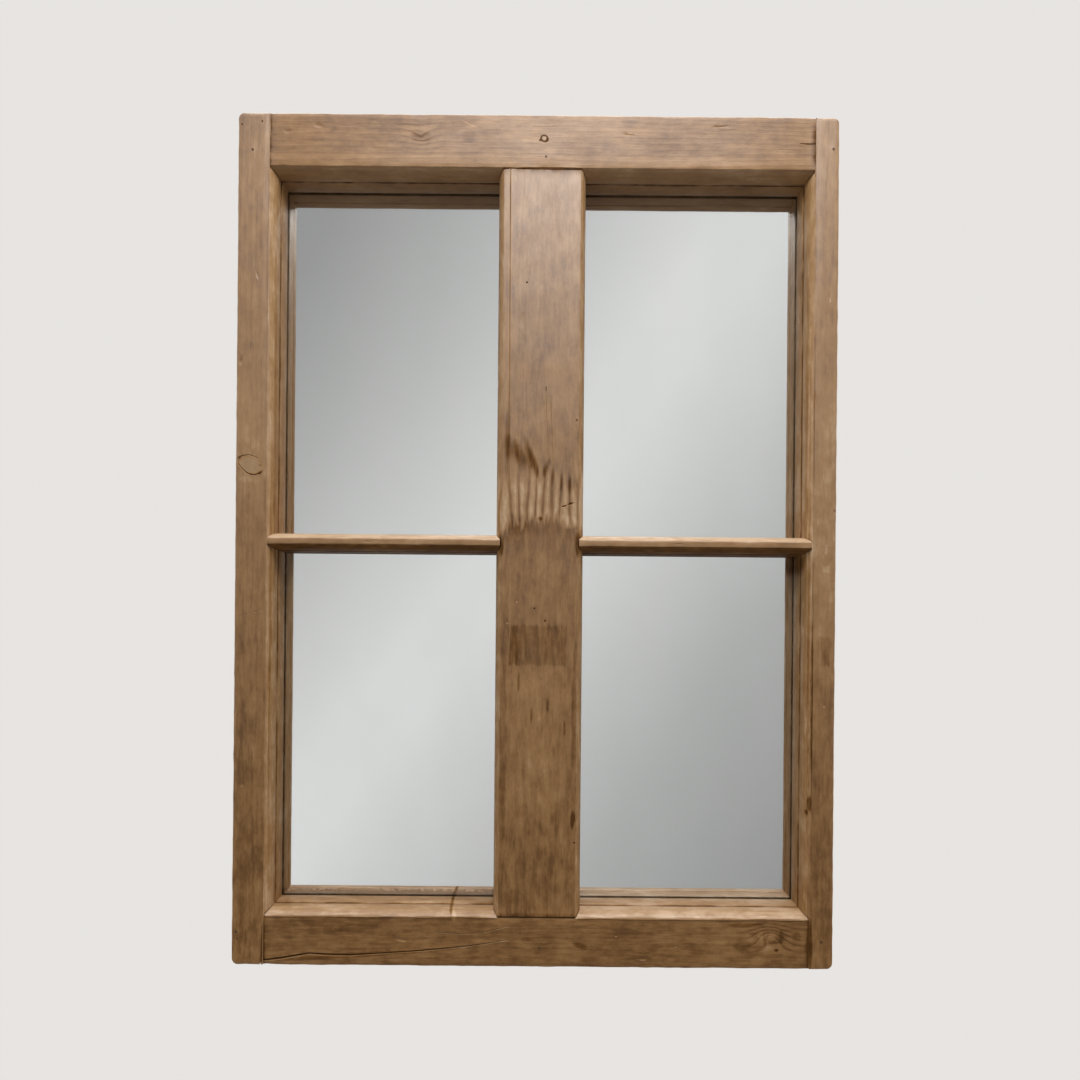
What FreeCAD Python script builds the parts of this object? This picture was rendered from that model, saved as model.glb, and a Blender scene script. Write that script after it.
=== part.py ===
import FreeCAD, Part
import math
import os

Vector = FreeCAD.Vector

# Sizes are in millimetres. X runs across the frame, Z is up, the panes face -Y and the wall is at Y = 0.
frame_width = 600.0
frame_height = 850.0
left_stile_face = 32.0
right_stile_face = 24.0
top_rail_face = 53.5
bottom_rail_face = 50.0
mullion_face = 78.0
bar_face = 7.0
corner_radius = 5.0
arris_radius = 1.5

# Moulding on the inner edge of every member, from the front arris back to the pane.
arris_step = 1.0
ovolo_inset = 4.5
ovolo_depth = 20.0
quirk_bite = 1.0
quirk_depth = 2.0
wall_inset = 5.2
stop_inset = 6.0
pane_setback = 38.0

# Layers that lie in the rebate behind the moulding and end flush with the back of the frame.
mirror_thickness = 4.0
liner_thickness = 2.0
board_thickness = 6.0
pane_clearance = 1.0

# Joinery.
tenon_thickness = 14.0
tenon_end_margin = 13.0
tenon_inner_margin = 7.0
wedge_thickness = 4.0
wedge_tip = 1.2
wedge_length_share = 0.75
mullion_tenon_shoulder = 12.0
mullion_tenon_length_share = 0.7
bar_tenon_length = 10.0
glue_gap = 0.1
pin_radius = 1.3
pin_bite = 5.0
pin_gap = 0.05

# Each corner pin's place as shares across the stile and along the tenon, from their outer edges.
corner_pin_shares = {
    "upper_left": (0.47, 0.74),
    "upper_right": (0.28, 0.58),
    "lower_left": (0.16, 0.68),
    "lower_right": (0.5, 0.5),
}
# Each mullion pin's place as shares across the mullion and along its tenon, from the left and the shoulder.
mullion_pin_shares = {"top": (0.54, 0.3), "bottom": (0.54, 0.86)}

# Round-head wood screws that hold the fittings on the back.
screw_radius = 1.5
screw_length = 16.0
screw_point = 4.0
screw_head_radius = 3.2
screw_head_height = 2.2
slot_width = 0.8
slot_depth = 0.9
screw_gap = 0.05

# Turn buttons that hold the backing boards in.
button_tail_radius = 6.0
button_tip_radius = 4.0
button_length = 14.0
button_thickness = 1.8
button_inset = 9.0
button_lift = 0.15
button_pivot_gap = 0.08
button_edge = 0.4

# Hangers: a folded strap with a loose D ring in its knuckle.
hanger_drop = 140.0
strap_width = 14.0
strap_thickness = 1.2
strap_screw_pitch = 13.0
strap_end = 6.5
strap_corner = 3.0
strap_hole_gap = 0.3
knuckle_gap = 0.3
knuckle_side_play = 1.0
ring_wire_radius = 1.5
ring_half_width = 9.0
ring_leg = 6.0
ring_corner = 3.0
ring_screw_gap = 2.0

# Rubber bumpers that keep the frame off the wall.
bumper_height = 8.0
bumper_base_radius = 8.0
bumper_tip_radius = 7.0
bumper_recess_radius = 4.2
bumper_recess_depth = 4.0
bumper_inset = 70.0
bumper_edge = 0.8

cut_overrun = 1.0
same_place = 1e-4

# Planes and places worked out from the sizes above.
y_back = -bumper_height
y_pane_back = y_back - board_thickness - liner_thickness
y_pane = y_pane_back - mirror_thickness
y_front = y_pane - pane_setback
left_edge = -frame_width / 2
right_edge = frame_width / 2
top_edge = frame_height / 2
bottom_edge = -frame_height / 2
opening_left = left_edge + left_stile_face
opening_right = right_edge - right_stile_face
opening_top = top_edge - top_rail_face
opening_bottom = bottom_edge + bottom_rail_face
mullion_left = (opening_left + opening_right - mullion_face) / 2
mullion_right = mullion_left + mullion_face
bar_bottom = (opening_bottom + opening_top - bar_face) / 2
bar_top = bar_bottom + bar_face
y_tenon_front = y_front + (ovolo_depth + pane_setback - tenon_thickness) / 2
y_tenon_back = y_tenon_front + tenon_thickness

# The four lights as (left, right, bottom, top), measured between the front arrises.
lights = {
    "upper_left": (opening_left, mullion_left, bar_top, opening_top),
    "upper_right": (mullion_right, opening_right, bar_top, opening_top),
    "lower_left": (opening_left, mullion_left, opening_bottom, bar_bottom),
    "lower_right": (mullion_right, opening_right, opening_bottom, bar_bottom),
}
# Stiles are (outer edge, inner edge, direction inwards), rails (outer edge, inner edge, direction out).
stiles = {"left": (left_edge, opening_left, 1), "right": (right_edge, opening_right, -1)}
rails = {"upper": (top_edge, opening_top, 1), "lower": (bottom_edge, opening_bottom, -1)}

nodes = {}


# Basic solids.
def block(x0, x1, y0, y1, z0, z1):
    return Part.makeBox(abs(x1 - x0), y1 - y0, abs(z1 - z0), Vector(min(x0, x1), y0, min(z0, z1)))


def slab(points, y0, y1):
    corners = [Vector(x, y0, z) for x, z in points]
    return Part.Face(Part.makePolygon(corners + corners[:1])).extrude(Vector(0, y1 - y0, 0))


def rod(radius, x, z, y0, y1):
    return Part.makeCylinder(radius, y1 - y0, Vector(x, y0, z), Vector(0, 1, 0))


def rounded(shape, radius, wanted):
    return shape.makeFillet(radius, [edge for edge in shape.Edges if wanted(edge.BoundBox)])


def near(a, b):
    return abs(a - b) < same_place


def one_solid(shape):
    return shape.removeSplitter().Solids[0]


# One length of moulding along one side of a light, mitred at both ends.
def moulding_strip(light, side):
    x0, x1, z0, z1 = light
    xi0, xi1, zi0, zi1 = x0 + stop_inset, x1 - stop_inset, z0 + stop_inset, z1 - stop_inset
    upright = Vector(0, 0, z1 - z0)
    across = Vector(x1 - x0, 0, 0)
    x, z, inwards, run, mitre = {
        "left": (x0, z0, Vector(1, 0, 0), upright, [(x0, z0), (xi0, zi0), (xi0, zi1), (x0, z1)]),
        "right": (x1, z0, Vector(-1, 0, 0), upright, [(x1, z0), (xi1, zi0), (xi1, zi1), (x1, z1)]),
        "bottom": (x0, z0, Vector(0, 0, 1), across, [(x0, z0), (xi0, zi0), (xi1, zi0), (x1, z0)]),
        "top": (x0, z1, Vector(0, 0, -1), across, [(x0, z1), (xi0, zi1), (xi1, zi1), (x1, z1)]),
    }[side]

    def point(inset, depth):
        return Vector(x, y_front + depth, z) + inwards * inset

    half_right = math.radians(45)
    crown_depth = ovolo_depth - (ovolo_depth - arris_step) * math.cos(half_right)
    start = point(0, arris_step)
    crown = point(ovolo_inset * math.sin(half_right), crown_depth)
    turns = [
        point(ovolo_inset, ovolo_depth),
        point(ovolo_inset - quirk_bite, ovolo_depth + quirk_depth / 2),
        point(wall_inset, ovolo_depth + quirk_depth),
        point(stop_inset, pane_setback),
        point(0, pane_setback),
        start,
    ]
    edges = [Part.Arc(start, crown, turns[0]).toShape()]
    edges += [Part.LineSegment(a, b).toShape() for a, b in zip(turns, turns[1:])]
    strip = Part.Face(Part.Wire(edges)).extrude(run)
    return strip.common(slab(mitre, y_front - cut_overrun, y_pane + cut_overrun))


def with_mouldings(core, sides):
    return one_solid(core.multiFuse([moulding_strip(lights[name], side) for name, side in sides]))


# Through tenons with wedges, where a rail meets a stile.
def tenon_span(rail):
    outer, inner, up = rails[rail]
    ends = (outer - up * tenon_end_margin, inner + up * tenon_inner_margin)
    return min(ends), max(ends)


def rail_tenon(rail, side):
    outer, inner, _ = stiles[side]
    low, high = tenon_span(rail)
    return block(outer, inner, y_tenon_front, y_tenon_back, low, high)


def tenon_mortise(rail, side):
    outer, inner, inwards = stiles[side]
    low, high = tenon_span(rail)
    wedge_end = outer + inwards * abs(inner - outer) * wedge_length_share
    points = [
        (outer, low - wedge_thickness), (wedge_end, low - wedge_tip), (wedge_end, low - glue_gap),
        (inner, low - glue_gap), (inner, high + glue_gap), (wedge_end, high + glue_gap),
        (wedge_end, high + wedge_tip), (outer, high + wedge_thickness),
    ]
    return slab(points, y_tenon_front - glue_gap, y_tenon_back + glue_gap)


def tenon_wedges(rail, side):
    outer, inner, inwards = stiles[side]
    low, high = tenon_span(rail)
    wedge_end = outer + inwards * (abs(inner - outer) * wedge_length_share - glue_gap)
    pair = []
    for base, away in ((high, 1), (low, -1)):
        points = [
            (outer, base + away * glue_gap),
            (outer, base + away * (wedge_thickness - glue_gap)),
            (wedge_end, base + away * (wedge_tip - glue_gap)),
            (wedge_end, base + away * glue_gap),
        ]
        pair.append(slab(points, y_tenon_front, y_tenon_back))
    return pair


# Pins driven from the front through a member and the tenon inside it.
def corner_pin_place(rail, side):
    across, along = corner_pin_shares[rail + "_" + side]
    outer, inner, _ = stiles[side]
    rail_outer, _, up = rails[rail]
    low, high = tenon_span(rail)
    z = rail_outer - up * (tenon_end_margin + along * (high - low))
    return outer + across * (inner - outer), z


def mullion_tenon_end(rail):
    outer, inner, _ = rails[rail]
    return inner + (outer - inner) * mullion_tenon_length_share


def mullion_pin_place(rail):
    across, along = mullion_pin_shares["top" if rail == "upper" else "bottom"]
    _, inner, _ = rails[rail]
    return mullion_left + across * mullion_face, inner + along * (mullion_tenon_end(rail) - inner)


def pin(place):
    return rod(pin_radius, *place, y_front, y_tenon_back + pin_bite)


def pin_hole(place):
    return rod(pin_radius + pin_gap, *place, y_front - cut_overrun, y_tenon_back + pin_bite + pin_gap)


# Screws stand with the head on a seat and the shank running forwards into the timber.
def screw(x, z, seat):
    rim = Vector(x + screw_head_radius, seat, z)
    half_right = math.radians(45)
    rise = screw_head_height * math.sin(half_right)
    shoulder = Vector(x + screw_head_radius * math.cos(half_right), seat + rise, z)
    crown = Vector(x, seat + screw_head_height, z)
    centre = Vector(x, seat, z)
    dome = [Part.Arc(rim, shoulder, crown).toShape()]
    dome += [Part.LineSegment(crown, centre).toShape(), Part.LineSegment(centre, rim).toShape()]
    head = Part.Face(Part.Wire(dome)).revolve(centre, Vector(0, 1, 0), 360)
    slot_floor = seat + screw_head_height - slot_depth
    slot = block(
        x - screw_head_radius, x + screw_head_radius, slot_floor, slot_floor + screw_head_height,
        z - slot_width / 2, z + slot_width / 2,
    )
    point_start = seat - screw_length + screw_point
    shank = rod(screw_radius, x, z, point_start, seat)
    point = Part.makeCone(screw_radius, 0, screw_point, Vector(x, point_start, z), Vector(0, -1, 0))
    return one_solid(head.cut(slot).multiFuse([shank, point]))


def screw_hole(x, z, seat, gap):
    return rod(screw_radius + gap, x, z, seat - screw_length - gap, seat + cut_overrun)


# Places of the fittings on the back.
def stile_middle(side):
    outer, inner, _ = stiles[side]
    return (outer + inner) / 2


hanger_z = top_edge - hanger_drop
hanger_y = y_back + strap_thickness + knuckle_gap + ring_wire_radius
ring_reach = ring_leg + ring_half_width + ring_wire_radius
strap_screw_z = hanger_z - ring_reach - screw_head_radius - ring_screw_gap
strap_screws = [strap_screw_z, strap_screw_z - strap_screw_pitch]
strap_bottom = strap_screws[-1] - strap_end
strap_seat = y_back + strap_thickness
button_seat = y_back + button_lift + button_thickness + button_lift
bumper_seat = -bumper_recess_depth
bumper_z = {"upper": top_edge - bumper_inset, "lower": bottom_edge + bumper_inset}

# Turn buttons are (pivot x, pivot z, direction towards the board), one on each upright side of a light.
buttons = {}
for light_name, (x0, x1, z0, z1) in lights.items():
    buttons[light_name + "_left"] = (x0 - button_inset, (z0 + z1) / 2, 1)
    buttons[light_name + "_right"] = (x1 + button_inset, (z0 + z1) / 2, -1)


# Pilot holes that fall inside a stretch of X.
def fitting_holes(x_low, x_high):
    holes = [screw_hole(x, z, button_seat, screw_gap) for x, z, _ in buttons.values()]
    for side in stiles:
        holes += [screw_hole(stile_middle(side), z, strap_seat, screw_gap) for z in strap_screws]
        holes += [screw_hole(stile_middle(side), z, bumper_seat, screw_gap) for z in bumper_z.values()]
    return [hole for hole in holes if x_low < hole.CenterOfMass.x < x_high]


# Sockets for the short tenons on a bar's ends.
def bar_tenon(edge, into):
    return block(edge, edge + into * bar_tenon_length, y_tenon_front, y_tenon_back, bar_bottom, bar_top)


def bar_mortise(edge, into):
    return block(
        edge, edge + into * (bar_tenon_length + glue_gap),
        y_tenon_front - glue_gap, y_tenon_back + glue_gap,
        bar_bottom - glue_gap, bar_top + glue_gap,
    )


# Stiles run the full height, with their outer corners and outer arrises worn round.
def make_stile(side):
    outer, inner, inwards = stiles[side]
    core = block(outer, inner, y_front, y_back, bottom_edge, top_edge)

    def at_corner(box):
        return near(box.XMin, outer) and near(box.XMax, outer) and near(box.ZMin, box.ZMax)

    def at_arris(box):
        on_face = near(box.YMin, box.YMax) and (near(box.YMin, y_front) or near(box.YMin, y_back))
        on_inner_edge = near(box.XMin, inner) and near(box.XMax, inner)
        return on_face and not on_inner_edge

    core = rounded(rounded(core, corner_radius, at_corner), arris_radius, at_arris)
    body = with_mouldings(core, [("upper_" + side, side), ("lower_" + side, side)])
    cuts = [tenon_mortise(rail, side) for rail in rails]
    cuts += [pin_hole(corner_pin_place(rail, side)) for rail in rails]
    cuts.append(bar_mortise(inner, -inwards))
    cuts += fitting_holes(min(outer, inner), max(outer, inner))
    return one_solid(body.cut(cuts))


# Rails fit between the stiles.
def make_rail(rail):
    outer, inner, _ = rails[rail]
    core = block(opening_left, opening_right, y_front, y_back, inner, outer)

    def at_arris(box):
        on_face = near(box.YMin, y_front) and near(box.YMax, y_front)
        on_back = near(box.YMin, y_back) and near(box.YMax, y_back)
        return (on_face or on_back) and near(box.ZMin, outer) and near(box.ZMax, outer)

    core = rounded(core, arris_radius, at_arris)
    edge = "top" if rail == "upper" else "bottom"
    body = with_mouldings(core, [(rail + "_left", edge), (rail + "_right", edge)])
    body = body.multiFuse([rail_tenon(rail, side) for side in stiles])
    tenon_end = mullion_tenon_end(rail)
    away = math.copysign(glue_gap, outer - inner)
    socket = block(
        mullion_left + mullion_tenon_shoulder - glue_gap, mullion_right - mullion_tenon_shoulder + glue_gap,
        y_tenon_front - glue_gap, y_tenon_back + glue_gap, inner, tenon_end + away,
    )
    holes = [pin_hole(corner_pin_place(rail, side)) for side in stiles]
    return one_solid(body.cut([socket, pin_hole(mullion_pin_place(rail))] + holes))


# The mullion stands between the rails and carries the inner ends of the bars.
def make_mullion():
    core = block(mullion_left, mullion_right, y_front, y_back, opening_bottom, opening_top)
    sides = [(rail + "_left", "right") for rail in rails] + [(rail + "_right", "left") for rail in rails]
    body = with_mouldings(core, sides)
    stubs = [
        block(
            mullion_left + mullion_tenon_shoulder, mullion_right - mullion_tenon_shoulder,
            y_tenon_front, y_tenon_back, rails[rail][1], mullion_tenon_end(rail),
        )
        for rail in rails
    ]
    cuts = [bar_mortise(mullion_left, 1), bar_mortise(mullion_right, -1)]
    cuts += [pin_hole(mullion_pin_place(rail)) for rail in rails]
    cuts += fitting_holes(mullion_left, mullion_right)
    return one_solid(body.multiFuse(stubs).cut(cuts))


# A glazing bar divides one side of the frame into an upper and a lower light.
def make_bar(side):
    x0, x1, _, _ = lights["upper_" + side]
    core = block(x0, x1, y_front, y_back, bar_bottom, bar_top)
    body = with_mouldings(core, [("upper_" + side, "bottom"), ("lower_" + side, "top")])
    return one_solid(body.multiFuse([bar_tenon(x0, -1), bar_tenon(x1, 1)]))


# Mirror, liner and backing board share one outline, a clearance inside the rebate.
def pane_layer(light, y0, y1):
    x0, x1, z0, z1 = light
    return block(x0 + pane_clearance, x1 - pane_clearance, y0, y1, z0 + pane_clearance, z1 - pane_clearance)


# A turn button is a drop-shaped plate with a large tail at the pivot and a small tip over the board.
def make_button(x, z, towards):
    slope = math.acos((button_tail_radius - button_tip_radius) / button_length)
    y0 = y_back + button_lift

    def on_circle(centre, radius, angle):
        along = centre + radius * math.cos(angle)
        return Vector(x + towards * along, y0, z + radius * math.sin(angle))

    tip = [on_circle(button_length, button_tip_radius, angle) for angle in (slope, 0, -slope)]
    tail = [on_circle(0, button_tail_radius, angle) for angle in (-slope, math.pi, slope)]
    edges = [
        Part.LineSegment(tail[2], tip[0]).toShape(),
        Part.Arc(*tip).toShape(),
        Part.LineSegment(tip[2], tail[0]).toShape(),
        Part.Arc(*tail).toShape(),
    ]
    plate = Part.Face(Part.Wire(edges)).extrude(Vector(0, button_thickness, 0))
    upper = y0 + button_thickness
    plate = rounded(plate, button_edge, lambda box: near(box.YMin, upper) and near(box.YMax, upper))
    hole = rod(screw_radius + button_pivot_gap, x, z, y0 - cut_overrun, upper + cut_overrun)
    return one_solid(plate.cut(hole))


# The strap is folded round the ring's straight side to make a knuckle.
def make_strap(side):
    x = stile_middle(side)
    half = strap_width / 2
    plate = block(x - half, x + half, y_back, y_back + strap_thickness, strap_bottom, hanger_z)

    def at_lower_corner(box):
        return near(box.ZMin, strap_bottom) and near(box.ZMax, strap_bottom) and near(box.XMin, box.XMax)

    plate = rounded(plate, strap_corner, at_lower_corner)
    bore = ring_wire_radius + knuckle_gap
    length = 2 * (ring_half_width - ring_corner) - knuckle_side_play
    start = Vector(x - length / 2, hanger_y, hanger_z)
    along = Vector(1, 0, 0)
    knuckle = Part.makeCylinder(bore + strap_thickness, length, start, along)
    bored = Part.makeCylinder(bore, strap_width, Vector(x - half, hanger_y, hanger_z), along)
    holes = [screw_hole(x, z, strap_seat, strap_hole_gap) for z in strap_screws]
    return one_solid(plate.fuse(knuckle).cut([bored] + holes))


# The ring is one bent wire that hangs from its straight side.
def make_ring(side):
    x = stile_middle(side)
    wire_section = Part.Face(Part.Wire(Part.makeCircle(
        ring_wire_radius, Vector(x, hanger_y, hanger_z), Vector(1, 0, 0))))
    straight = ring_half_width - ring_corner
    bar = wire_section.translated(Vector(-straight, 0, 0)).extrude(Vector(2 * straight, 0, 0))
    axis = Vector(0, 1, 0)
    pieces = [bar]
    leg_section = Part.Face(Part.Wire(Part.makeCircle(
        ring_wire_radius, Vector(x, hanger_y, hanger_z - ring_corner), Vector(0, 0, 1))))
    for out in (-1, 1):
        bend_centre = Vector(x + out * straight, hanger_y, hanger_z - ring_corner)
        bend = wire_section.translated(Vector(out * straight, 0, 0))
        pieces.append(bend.revolve(bend_centre, axis, out * 90))
        leg = leg_section.translated(Vector(out * ring_half_width, 0, 0))
        pieces.append(leg.extrude(Vector(0, 0, ring_corner - ring_leg)))
    bow_centre = Vector(x, hanger_y, hanger_z - ring_leg)
    bow_start = leg_section.translated(Vector(ring_half_width, 0, ring_corner - ring_leg))
    pieces.append(bow_start.revolve(bow_centre, axis, 180))
    return one_solid(pieces[0].multiFuse(pieces[1:]))


# A bumper is a short rubber cone with its screw sunk in a recess.
def make_bumper(x, z):
    cone = Part.makeCone(
        bumper_base_radius, bumper_tip_radius, bumper_height, Vector(x, y_back, z), Vector(0, 1, 0))
    cone = rounded(cone, bumper_edge, lambda box: near(box.YMin, 0) and near(box.YMax, 0))
    recess = rod(bumper_recess_radius, x, z, bumper_seat, cut_overrun)
    return one_solid(cone.cut([recess, screw_hole(x, z, bumper_seat, screw_gap)]))


# The assembly.
for side in stiles:
    nodes[side + "_stile"] = make_stile(side)
    nodes[side + "_glazing_bar"] = make_bar(side)
    nodes[side + "_hanger_strap"] = make_strap(side)
    nodes[side + "_hanger_ring"] = make_ring(side)
nodes["top_rail"] = make_rail("upper")
nodes["bottom_rail"] = make_rail("lower")
nodes["mullion"] = make_mullion()
for light_name, light in lights.items():
    nodes[light_name + "_mirror"] = pane_layer(light, y_pane, y_pane_back)
    nodes[light_name + "_liner"] = pane_layer(light, y_pane_back, y_pane_back + liner_thickness)
    nodes[light_name + "_backing_board"] = pane_layer(light, y_back - board_thickness, y_back)
for name, place in buttons.items():
    nodes[name + "_turn_button"] = make_button(*place)
corners = [(rail, side) for rail in rails for side in stiles]
for rail, side in corners:
    nodes[rail + "_" + side + "_bumper"] = make_bumper(stile_middle(side), bumper_z[rail])
nodes["tenon_wedges"] = Part.makeCompound([wedge for corner in corners for wedge in tenon_wedges(*corner)])
nodes["corner_pins"] = Part.makeCompound([pin(corner_pin_place(*corner)) for corner in corners])
nodes["mullion_pins"] = Part.makeCompound([pin(mullion_pin_place(rail)) for rail in rails])
nodes["button_screws"] = Part.makeCompound([screw(x, z, button_seat) for x, z, _ in buttons.values()])
nodes["hanger_screws"] = Part.makeCompound(
    [screw(stile_middle(side), z, strap_seat) for side in stiles for z in strap_screws])
nodes["bumper_screws"] = Part.makeCompound(
    [screw(stile_middle(side), bumper_z[rail], bumper_seat) for rail, side in corners])

os.makedirs("parts", exist_ok=True)
for name, shape in nodes.items():
    shape.exportStep("parts/" + name + ".step")
    print(name, len(shape.Solids), "valid" if shape.isValid() else "BAD", round(shape.Volume))
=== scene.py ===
import bpy
import math
import random
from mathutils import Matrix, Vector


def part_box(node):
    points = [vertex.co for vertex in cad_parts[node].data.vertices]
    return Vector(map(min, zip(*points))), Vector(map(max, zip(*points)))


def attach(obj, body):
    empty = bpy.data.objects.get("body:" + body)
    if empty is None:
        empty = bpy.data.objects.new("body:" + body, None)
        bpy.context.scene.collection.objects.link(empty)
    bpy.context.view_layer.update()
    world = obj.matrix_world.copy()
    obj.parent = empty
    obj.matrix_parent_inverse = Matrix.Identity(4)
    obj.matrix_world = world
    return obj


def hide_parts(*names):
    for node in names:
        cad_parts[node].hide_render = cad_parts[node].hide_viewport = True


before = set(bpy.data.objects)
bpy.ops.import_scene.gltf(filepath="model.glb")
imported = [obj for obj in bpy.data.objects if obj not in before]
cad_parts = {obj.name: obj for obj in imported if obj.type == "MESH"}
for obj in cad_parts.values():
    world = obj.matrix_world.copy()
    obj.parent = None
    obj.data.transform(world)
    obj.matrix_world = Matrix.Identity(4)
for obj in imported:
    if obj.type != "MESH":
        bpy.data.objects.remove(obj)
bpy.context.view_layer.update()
random.seed(1907)
print("frame loaded")

# All lengths are metres. X runs across the mirror, Z is up, the panes face -Y.
frontPlane = -0.058
halfWidth = 0.300
halfHeight = 0.425
sides = ("left", "right")
panes = ("upper_left", "upper_right", "lower_left", "lower_right")


# Small hand tools for selecting and shaping

def deselectAll():
    if bpy.context.object and bpy.context.object.mode != "OBJECT":
        bpy.ops.object.mode_set(mode="OBJECT")
    bpy.ops.object.select_all(action="DESELECT")


def takeUp(piece):
    deselectAll()
    piece.select_set(True)
    bpy.context.view_layer.objects.active = piece


def openMesh(piece, mode="EDGE"):
    takeUp(piece)
    bpy.ops.object.mode_set(mode="EDIT")
    bpy.ops.mesh.select_mode(type=mode)


def closeMesh():
    bpy.ops.object.mode_set(mode="OBJECT")


def newPiece(name):
    piece = bpy.context.object
    piece.name = name
    piece.data.name = name
    return piece


def settle(piece):
    takeUp(piece)
    bpy.ops.object.transform_apply(location=True, rotation=True, scale=True)


def putOn(piece, material, body, slot, *nodes):
    piece.data.materials.clear()
    piece.data.materials.append(material)
    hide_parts(*nodes)
    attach(piece, body)


# Small helpers for material nodes

def put(tree, kind, **settings):
    node = tree.nodes.new(kind)
    for key, value in settings.items():
        setattr(node, key, value)
    return node


def newFinish(name):
    finish = bpy.data.materials.new(name)
    finish.use_nodes = True
    tree = finish.node_tree
    tree.nodes.clear()
    return finish, tree, put(tree, "ShaderNodeTexCoord").outputs["Object"]


def plug(tree, value, socket):
    if isinstance(value, bpy.types.NodeSocket):
        tree.links.new(value, socket)
    else:
        socket.default_value = value


def calc(tree, operation, first, second=None, third=None, clamp=False):
    node = put(tree, "ShaderNodeMath", operation=operation, use_clamp=clamp)
    for value, socket in zip((first, second, third), node.inputs):
        if value is not None:
            plug(tree, value, socket)
    return node.outputs[0]


def times(tree, first, second, clamp=False):
    return calc(tree, "MULTIPLY", first, second, clamp=clamp)


def plus(tree, first, second):
    return calc(tree, "ADD", first, second)


def minus(tree, first, second):
    return calc(tree, "SUBTRACT", first, second)


def scaled(tree, value, share, base):
    return calc(tree, "MULTIPLY_ADD", value, share, base)


def mapped(tree, source, location=(0, 0, 0), turn=(0, 0, 0), scale=(1, 1, 1)):
    node = put(tree, "ShaderNodeMapping")
    plug(tree, source, node.inputs["Vector"])
    node.inputs["Location"].default_value = location
    node.inputs["Rotation"].default_value = turn
    node.inputs["Scale"].default_value = scale
    return node.outputs[0]


def apart(tree, source):
    node = put(tree, "ShaderNodeSeparateXYZ")
    plug(tree, source, node.inputs[0])
    return tuple(node.outputs)


def normalParts(tree):
    return apart(tree, put(tree, "ShaderNodeTexCoord").outputs["Normal"])


def cloudy(tree, source, scale, detail, rough=0.5, shift=(0, 0, 0), turn=(0, 0, 0)):
    node = put(tree, "ShaderNodeTexNoise")
    plug(tree, mapped(tree, source, shift, turn, scale), node.inputs["Vector"])
    node.inputs["Scale"].default_value = 1.0
    node.inputs["Detail"].default_value = detail
    node.inputs["Roughness"].default_value = rough
    return node.outputs[0]


def ramp(tree, source, stops, blend="LINEAR"):
    node = put(tree, "ShaderNodeValToRGB")
    node.color_ramp.interpolation = blend
    points = node.color_ramp.elements
    while len(points) < len(stops):
        points.new(1.0)
    for point, (position, value) in zip(points, stops):
        point.position = position
        point.color = (value, value, value, 1) if isinstance(value, (int, float)) else (*value, 1)
    plug(tree, source, node.inputs[0])
    return node.outputs[0]


def tint(tree, amount, first, second):
    node = put(tree, "ShaderNodeMix", data_type="RGBA")
    plug(tree, amount, node.inputs[0])
    for value, socket in ((first, node.inputs[6]), (second, node.inputs[7])):
        plug(tree, value if isinstance(value, bpy.types.NodeSocket) else (*value, 1), socket)
    return node.outputs[2]


def lumps(tree, height, strength, distance):
    node = put(tree, "ShaderNodeBump")
    node.inputs["Strength"].default_value = strength
    node.inputs["Distance"].default_value = distance
    plug(tree, height, node.inputs["Height"])
    return node.outputs[0]


def surface(tree, **sockets):
    shader = put(tree, "ShaderNodeBsdfPrincipled")
    for key, value in sockets.items():
        plug(tree, value, shader.inputs[key.replace("_", " ")])
    out = put(tree, "ShaderNodeOutputMaterial")
    tree.links.new(shader.outputs[0], out.inputs["Surface"])


ovalDepth = 0.09


# An oval on the front face, 1 in its middle and 0 at its rim, with its top leaning to the right
def oval(tree, place, x, z, rx, rz, lean, curve="SPHERICAL"):
    spot = put(tree, "ShaderNodeTexGradient", gradient_type=curve)
    local = put(tree, "ShaderNodeMapping", vector_type="TEXTURE")
    plug(tree, place, local.inputs["Vector"])
    local.inputs["Location"].default_value = (x, frontPlane, z)
    local.inputs["Rotation"].default_value = (0, lean, 0)
    local.inputs["Scale"].default_value = (rx, ovalDepth, rz)
    plug(tree, local.outputs[0], spot.inputs[0])
    return spot.outputs["Fac"]


# A straight-sided patch on the front face, 1 inside and 0 outside
def patch(tree, place, x0, x1, z0, z1, soft, fray):
    x, _, z = apart(tree, place)
    across = calc(tree, "MINIMUM", minus(tree, x, x0), minus(tree, x1, x))
    up = calc(tree, "MINIMUM", minus(tree, z, z0), minus(tree, z1, z))
    ragged = soft * 3
    inside = scaled(tree, fray, ragged, calc(tree, "MINIMUM", across, up))
    return calc(tree, "DIVIDE", minus(tree, inside, ragged / 2), soft, clamp=True)


# Old stripped pine. The rings lie round the log's heart, and knots push them aside.

pineTones = [
    (0.00, (0.560, 0.375, 0.220)),
    (0.30, (0.375, 0.207, 0.083)),
    (0.50, (0.300, 0.154, 0.054)),
    (0.75, (0.190, 0.088, 0.026)),
    (1.00, (0.100, 0.044, 0.013)),
]
pineLook = {
    "fibre": 0.30, "streak": 0.46, "cloud": 0.60, "blotch": 0.56, "mottle": 0.66,  # uneven tone
    "fleck": 0.08, "smudge": 0.14, "scrape": -0.12,
    "highFrom": 0.42, "highOver": 0.56, "calmHigh": -0.24, "paintedLightHigh": -0.045, "darker": 0.055,
    "endGrain": 0.18, "bareBack": -0.34, "paintedCheekLight": -0.26, "paintedSkyLight": -0.33, "rubbed": 0.12, "grimeAndShade": 0.52,
    "bark": (0.085, 0.040, 0.014), "knotReach": 2.6, "frontOnly": -0.012, "frontFade": 0.006,
    "waxSheen": 0.47, "woodSheen": 0.28, "relief": 0.0003,
}


# Noise drawn out along the log
def grainCloud(tree, log, across, along, detail, rough=0.5, shift=(0, 0, 0)):
    return cloudy(tree, log, (across, across, along), detail, rough, shift)


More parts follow.
